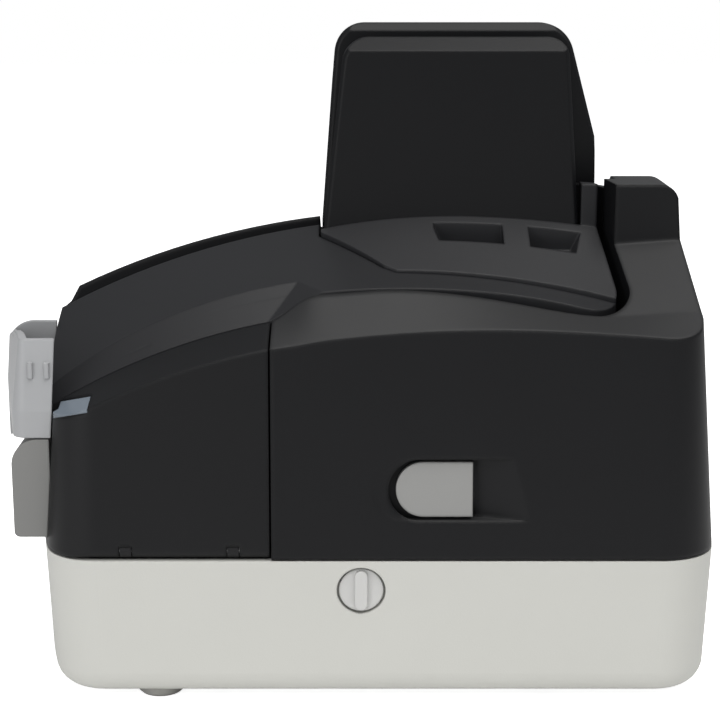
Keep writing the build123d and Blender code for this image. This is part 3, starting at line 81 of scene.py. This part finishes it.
table_mesh = bpy.data.meshes.new("table")
table_form = bmesh.new()
bmesh.ops.create_grid(table_form, x_segments=2, y_segments=2, size=TABLE_HALF)
table_form.to_mesh(table_mesh)
table_form.free()
table = bpy.data.objects.new("table", table_mesh)
bpy.context.scene.collection.objects.link(table)
table_look = bpy.data.materials.new("table_white")
table_look.use_nodes = True
shade = table_look.node_tree
shade.nodes.clear()
shade_out = shade.nodes.new("ShaderNodeOutputMaterial")
shade_path = shade.nodes.new("ShaderNodeLightPath")
shade_mix = shade.nodes.new("ShaderNodeMixShader")
shade_matt = shade.nodes.new("ShaderNodeBsdfDiffuse")
shade_matt.inputs["Color"].default_value = (TABLE_WHITE, TABLE_WHITE, TABLE_WHITE, 1.0)
shade_white = shade.nodes.new("ShaderNodeEmission")
shade_white.inputs["Strength"].default_value = TABLE_WHITE
shade_add = shade.nodes.new("ShaderNodeAddShader")
shade.links.new(shade_matt.outputs["BSDF"], shade_add.inputs[0])
shade.links.new(shade_white.outputs["Emission"], shade_add.inputs[1])
shade.links.new(shade_path.outputs["Is Camera Ray"], shade_mix.inputs["Fac"])
shade.links.new(shade_matt.outputs["BSDF"], shade_mix.inputs[1])
shade.links.new(shade_add.outputs["Shader"], shade_mix.inputs[2])
shade.links.new(shade_mix.outputs["Shader"], shade_out.inputs["Surface"])
table.data.materials.append(table_look)

# ---------------------------------------------------------------------------
# Base housing: the pale tub, injection moulded in off-white plastic with a
# fine spark-eroded grain. It stands on four feet, and the chassis plate
# and the covers are fixed on it.
# ---------------------------------------------------------------------------


GRAIN_HEIGHT_M = 0.0001
CLOUDS_PER_METRE = 38.0
# Painted top light: faces that look up are mixed towards this paler grey, to paint the light that
# falls on them from above.
PAINTED_TOP_LIGHT_GREY = (0.42, 0.42, 0.42, 1.0)
TOP_LIGHT_FROM_TILT = 0.35
EDGE_SAMPLES = 6


def moulded_grain_group():
    """Moulded grain, slow mottling, softened edges, and painted top light: faces that look up are
    painted towards a paler grey.

    It gives a colour, a roughness and a normal.
    """
    group = bpy.data.node_groups.new("moulded grain", "ShaderNodeTree")
    for name, kind, value in (("Color", "NodeSocketColor", (0.5, 0.5, 0.5, 1.0)),
                              ("Roughness", "NodeSocketFloat", 0.5),
                              ("Grain per metre", "NodeSocketFloat", 2600.0),
                              ("Grain depth", "NodeSocketFloat", 0.2),
                              ("Mottle", "NodeSocketFloat", 0.06),
                              ("Edge radius", "NodeSocketFloat", 0.0006),
                              ("Painted top light", "NodeSocketFloat", 0.0)):
        socket = group.interface.new_socket(name=name, in_out="INPUT", socket_type=kind)
        socket.default_value = value
    group.interface.new_socket(name="Color", in_out="OUTPUT", socket_type="NodeSocketColor")
    group.interface.new_socket(name="Roughness", in_out="OUTPUT", socket_type="NodeSocketFloat")
    group.interface.new_socket(name="Normal", in_out="OUTPUT", socket_type="NodeSocketVector")
    tree, link = group.nodes, group.links
    taken = tree.new("NodeGroupInput")
    given = tree.new("NodeGroupOutput")
    where = tree.new("ShaderNodeTexCoord")
    grain = tree.new("ShaderNodeTexNoise")
    grain.inputs["Detail"].default_value = 3.0
    link.new(where.outputs["Object"], grain.inputs["Vector"])
    link.new(taken.outputs["Grain per metre"], grain.inputs["Scale"])
    cloud = tree.new("ShaderNodeTexNoise")
    cloud.inputs["Scale"].default_value = CLOUDS_PER_METRE
    cloud.inputs["Detail"].default_value = 4.0
    link.new(where.outputs["Object"], cloud.inputs["Vector"])
    swing = tree.new("ShaderNodeMath")
    swing.operation = "SUBTRACT"
    swing.inputs[1].default_value = 0.5
    link.new(cloud.outputs["Fac"], swing.inputs[0])
    share = tree.new("ShaderNodeMath")
    share.operation = "MULTIPLY_ADD"
    share.inputs[2].default_value = 1.0
    link.new(swing.outputs["Value"], share.inputs[0])
    link.new(taken.outputs["Mottle"], share.inputs[1])
    tint = tree.new("ShaderNodeVectorMath")
    tint.operation = "SCALE"
    link.new(taken.outputs["Color"], tint.inputs[0])
    link.new(share.outputs["Value"], tint.inputs["Scale"])
    facing = tree.new("ShaderNodeSeparateXYZ")
    link.new(where.outputs["Normal"], facing.inputs["Vector"])
    upward = tree.new("ShaderNodeMapRange")
    upward.interpolation_type = "SMOOTHSTEP"
    upward.inputs["From Min"].default_value = TOP_LIGHT_FROM_TILT
    upward.inputs["From Max"].default_value = 1.0
    link.new(facing.outputs["Z"], upward.inputs["Value"])
    # Painted top light: the up-facing share, mixed towards the paler grey.
    top_light_share = tree.new("ShaderNodeMath")
    top_light_share.operation = "MULTIPLY"
    link.new(upward.outputs["Result"], top_light_share.inputs[0])
    link.new(taken.outputs["Painted top light"], top_light_share.inputs[1])
    patchy_top_light = tree.new("ShaderNodeMath")
    patchy_top_light.operation = "MULTIPLY"
    link.new(top_light_share.outputs["Value"], patchy_top_light.inputs[0])
    link.new(share.outputs["Value"], patchy_top_light.inputs[1])
    top_lit_colour = tree.new("ShaderNodeMixRGB")
    top_lit_colour.inputs["Color2"].default_value = PAINTED_TOP_LIGHT_GREY
    link.new(patchy_top_light.outputs["Value"], top_lit_colour.inputs["Fac"])
    link.new(tint.outputs["Vector"], top_lit_colour.inputs["Color1"])
    link.new(top_lit_colour.outputs["Color"], given.inputs["Color"])
    rough = tree.new("ShaderNodeMath")
    rough.operation = "MULTIPLY"
    link.new(taken.outputs["Roughness"], rough.inputs[0])
    link.new(share.outputs["Value"], rough.inputs[1])
    link.new(rough.outputs["Value"], given.inputs["Roughness"])
    bump = tree.new("ShaderNodeBump")
    bump.inputs["Distance"].default_value = GRAIN_HEIGHT_M
    link.new(taken.outputs["Grain depth"], bump.inputs["Strength"])
    link.new(grain.outputs["Fac"], bump.inputs["Height"])
    edge = tree.new("ShaderNodeBevel")
    edge.samples = EDGE_SAMPLES
    link.new(taken.outputs["Edge radius"], edge.inputs["Radius"])
    link.new(edge.outputs["Normal"], bump.inputs["Normal"])
    link.new(bump.outputs["Normal"], given.inputs["Normal"])
    return group


moulded_grain = moulded_grain_group()


def moulded_plastic(name, color, roughness, grain, depth, mottle,
                    specular=0.5, edge=0.0006, painted_top_light=0.0):
    """Moulded plastic with its own colour, polish, grain, edge radius in metres and share of painted
    top light on faces that look up.
    """
    look = bpy.data.materials.new(name)
    look.use_nodes = True
    tree = look.node_tree
    shader = tree.nodes["Principled BSDF"]
    shader.inputs["Specular IOR Level"].default_value = specular
    skin = tree.nodes.new("ShaderNodeGroup")
    skin.node_tree = moulded_grain
    skin.inputs["Color"].default_value = (*color, 1.0)
    skin.inputs["Roughness"].default_value = roughness
    skin.inputs["Grain per metre"].default_value = grain
    skin.inputs["Grain depth"].default_value = depth
    skin.inputs["Mottle"].default_value = mottle
    skin.inputs["Edge radius"].default_value = edge
    skin.inputs["Painted top light"].default_value = painted_top_light
    tree.links.new(skin.outputs["Color"], shader.inputs["Base Color"])
    tree.links.new(skin.outputs["Roughness"], shader.inputs["Roughness"])
    tree.links.new(skin.outputs["Normal"], shader.inputs["Normal"])
    return look


def dress(node, look):
    """Gives a piece its finish."""
    for slot in nodes[node].material_slots:
        slot.material = look
    if not nodes[node].material_slots:
        nodes[node].data.materials.append(look)


pale_shell = moulded_plastic("pale_shell", (0.53, 0.53, 0.50), 0.48, 2400.0, 0.25, 0.05)
dress("base_housing", pale_shell)

# ---------------------------------------------------------------------------
# Upright black covers: left housing, front door, front panel and swing cover,
# moulded in charcoal plastic with a fine satin grain. The sloping top of the
# swing cover is painted paler: painted top light, for the light from above.
# ---------------------------------------------------------------------------
charcoal_skin = moulded_plastic("charcoal_skin", (0.0062, 0.0064, 0.0072), 0.44, 3200.0, 0.22, 0.08,
                                specular=0.20, edge=0.0016)
for node in ("left_housing", "front_door", "front_panel"):
    dress(node, charcoal_skin)
# The swing cover's up-facing faces are painted paler: painted top light.
charcoal_cover = moulded_plastic("charcoal_cover", (0.0055, 0.0057, 0.0066), 0.45, 3200.0, 0.22, 0.08,
                                 specular=0.20, edge=0.0018, painted_top_light=0.050)
dress("outer_cover", charcoal_cover)

# ---------------------------------------------------------------------------
# Top cover and feed cover: the crowned deck and the lift-off lid beside the
# hopper, moulded in a slightly lighter charcoal with a coarser matt grain.
# ---------------------------------------------------------------------------
# Both finishes paint top light: up-facing faces are mixed slightly towards a paler grey, more on the
# lid.
charcoal_top = moulded_plastic("charcoal_top", (0.0102, 0.0105, 0.0120), 0.50, 3600.0, 0.30, 0.08,
                               specular=0.28, edge=0.0010, painted_top_light=0.004)
dress("top_cover", charcoal_top)
charcoal_lid = moulded_plastic("charcoal_lid", (0.0120, 0.0123, 0.0140), 0.50, 3600.0, 0.30, 0.08,
                               specular=0.28, edge=0.0010, painted_top_light=0.018)
dress("feed_cover", charcoal_lid)

# ---------------------------------------------------------------------------
# Hopper plates: two tall moulded plates that hold the cheques upright, with
# the sprung pressure plate and the curved corner guide behind, in a slightly
# glossier charcoal plastic.
# ---------------------------------------------------------------------------
plate_skin = moulded_plastic("plate_skin", (0.0050, 0.0052, 0.0060), 0.38, 3200.0, 0.16, 0.08,
                             specular=0.20, edge=0.0009)
for node in ("near_guide_plate", "far_guide_plate", "corner_guide", "pusher_plate"):
    dress(node, plate_skin)

# ---------------------------------------------------------------------------
# Lane floor and inner mouldings: the centre frame with the cheque lane, the
# front guide, hinge lugs, latch bar and power button, in plain black plastic
# left with a duller surface.
# ---------------------------------------------------------------------------
lane_plastic = moulded_plastic("lane_plastic", (0.007, 0.007, 0.008), 0.55, 1800.0, 0.30, 0.10,
                               specular=0.25)
for node in ("centre_frame", "front_guide", "door_hinge_lugs", "latch_bar", "power_button"):
    dress(node, lane_plastic)

# ---------------------------------------------------------------------------
# Exit stopper and open slide: mid-grey moulded plastic with a silvery cast.
# The stopper draws out on its tongue; the slide sits in the swing cover.
# ---------------------------------------------------------------------------
silver_grey = moulded_plastic("silver_grey", (0.33, 0.335, 0.345), 0.40, 2800.0, 0.18, 0.06,
                              specular=0.45)
dress("exit_stopper", silver_grey)
slide_grey = moulded_plastic("slide_grey", (0.25, 0.25, 0.245), 0.42, 2800.0, 0.18, 0.06,
                             specular=0.4, edge=0.0008)
dress("open_slide", slide_grey)

# ---------------------------------------------------------------------------
# Exit tray: the fixed lower half of the pocket, moulded in a warm grey and
# fixed to the front panel. Its grey is darker than the stopper's: painted shade.
# ---------------------------------------------------------------------------
tray_grey_painted_shade = moulded_plastic("tray_grey_painted_shade", (0.19, 0.19, 0.185), 0.50, 2600.0, 0.22, 0.07,
                            specular=0.35)
dress("exit_tray", tray_grey_painted_shade)

# ---------------------------------------------------------------------------
# Separation dial, pulleys and idlers: the small grey knob with its cam, and
# the moulded wheels of the belt drive, in a smooth pale grey plastic.
# ---------------------------------------------------------------------------
dial_grey = moulded_plastic("dial_grey", (0.52, 0.52, 0.51), 0.36, 3000.0, 0.15, 0.05)
for node in ("separation_dial", "dial_cam", "feed_pulley", "pick_pulley", "rear_drive_pulley",
             "front_drive_pulley", "motor_pulley", "front_idler", "rear_idler"):
    dress(node, dial_grey)

# ---------------------------------------------------------------------------
# Status lens: a glossy bluish light guide, moulded and pressed into the
# door's front edge. It carries no lamp.
# ---------------------------------------------------------------------------
lens_look = moulded_plastic("lens_look", (0.13, 0.155, 0.185), 0.14, 900.0, 0.05, 0.10)
dress("status_lens", lens_look)

# ---------------------------------------------------------------------------
# Rubber: moulded drive belts, dull and nearly black, pale feet pressed under
# the base, and dark grey roller sleeves, ground round.
# ---------------------------------------------------------------------------
black_rubber = moulded_plastic("black_rubber", (0.020, 0.020, 0.021), 0.78, 1500.0, 0.45, 0.15,
                               specular=0.3)
for node in ("main_belt", "pick_belt"):
    dress(node, black_rubber)
pale_rubber = moulded_plastic("pale_rubber", (0.36, 0.355, 0.335), 0.75, 1500.0, 0.40, 0.10,
                              specular=0.3)
dress("rubber_feet", pale_rubber)
roller_rubber = moulded_plastic("roller_rubber", (0.045, 0.046, 0.050), 0.70, 1500.0, 0.45, 0.12,
                                specular=0.3)
for node in ("feed_roller", "pick_roller", "rear_drive_roller", "front_drive_roller", "retard_roller"):
    dress(node, roller_rubber)


# ---------------------------------------------------------------------------
# Steel and bronze: chassis and bearing plates, shafts, pins, screws, motor
# can, magnetic head and data socket, plated, with fine lines; and the
# bushings, pressed from sintered bronze.
# ---------------------------------------------------------------------------
LINES_PER_METRE = (3000.0, 60.0, 3000.0)
LINE_SHADE = 0.88


def drawn_metal(name, color, roughness):
    """Plated metal with fine lines that vary its polish."""
    look = bpy.data.materials.new(name)
    look.use_nodes = True
    tree = look.node_tree
    shader = tree.nodes["Principled BSDF"]
    shader.inputs["Metallic"].default_value = 1.0
    where = tree.nodes.new("ShaderNodeTexCoord")
    stretch = tree.nodes.new("ShaderNodeMapping")
    stretch.inputs["Scale"].default_value = LINES_PER_METRE
    lines = tree.nodes.new("ShaderNodeTexNoise")
    lines.inputs["Scale"].default_value = 1.0
    lines.inputs["Detail"].default_value = 3.0
    ramp = tree.nodes.new("ShaderNodeMapRange")
    ramp.inputs["To Min"].default_value = roughness - 0.07
    ramp.inputs["To Max"].default_value = roughness + 0.10
    shade = tree.nodes.new("ShaderNodeMixRGB")
    shade.inputs["Color1"].default_value = (*[c * LINE_SHADE for c in color], 1.0)
    shade.inputs["Color2"].default_value = (*color, 1.0)
    tree.links.new(where.outputs["Object"], stretch.inputs["Vector"])
    tree.links.new(stretch.outputs["Vector"], lines.inputs["Vector"])
    tree.links.new(lines.outputs["Fac"], ramp.inputs["Value"])
    tree.links.new(lines.outputs["Fac"], shade.inputs["Fac"])
    tree.links.new(ramp.outputs["Result"], shader.inputs["Roughness"])
    tree.links.new(shade.outputs["Color"], shader.inputs["Base Color"])
    return look


plated_steel = drawn_metal("plated_steel", (0.62, 0.62, 0.63), 0.32)
for node in ("cover_screws", "chassis_plate", "bearing_plate", "cover_hinge_pin", "door_hinge_pin",
             "feed_shaft", "pick_shaft", "rear_drive_shaft", "front_drive_shaft", "motor_shaft",
             "retard_shaft", "front_idler_pin", "rear_idler_pin", "drive_motor", "magnetic_head",
             "pusher_pins", "usb_socket"):
    dress(node, plated_steel)
sintered_bronze = drawn_metal("sintered_bronze", (0.62, 0.44, 0.20), 0.45)
dress("shaft_bushings", sintered_bronze)

# ---------------------------------------------------------------------------
# Sensors, power inlet and circuit board: glossy black moulded blocks, and a
# board of green laminate that lies flat inside the base.
# ---------------------------------------------------------------------------
sensor_black = moulded_plastic("sensor_black", (0.012, 0.012, 0.014), 0.18, 1200.0, 0.05, 0.10)
for node in ("outer_image_sensor", "inner_image_sensor", "dc_socket"):
    dress(node, sensor_black)
board_green = moulded_plastic("board_green", (0.02, 0.12, 0.05), 0.30, 800.0, 0.10, 0.35)
dress("main_board", board_green)
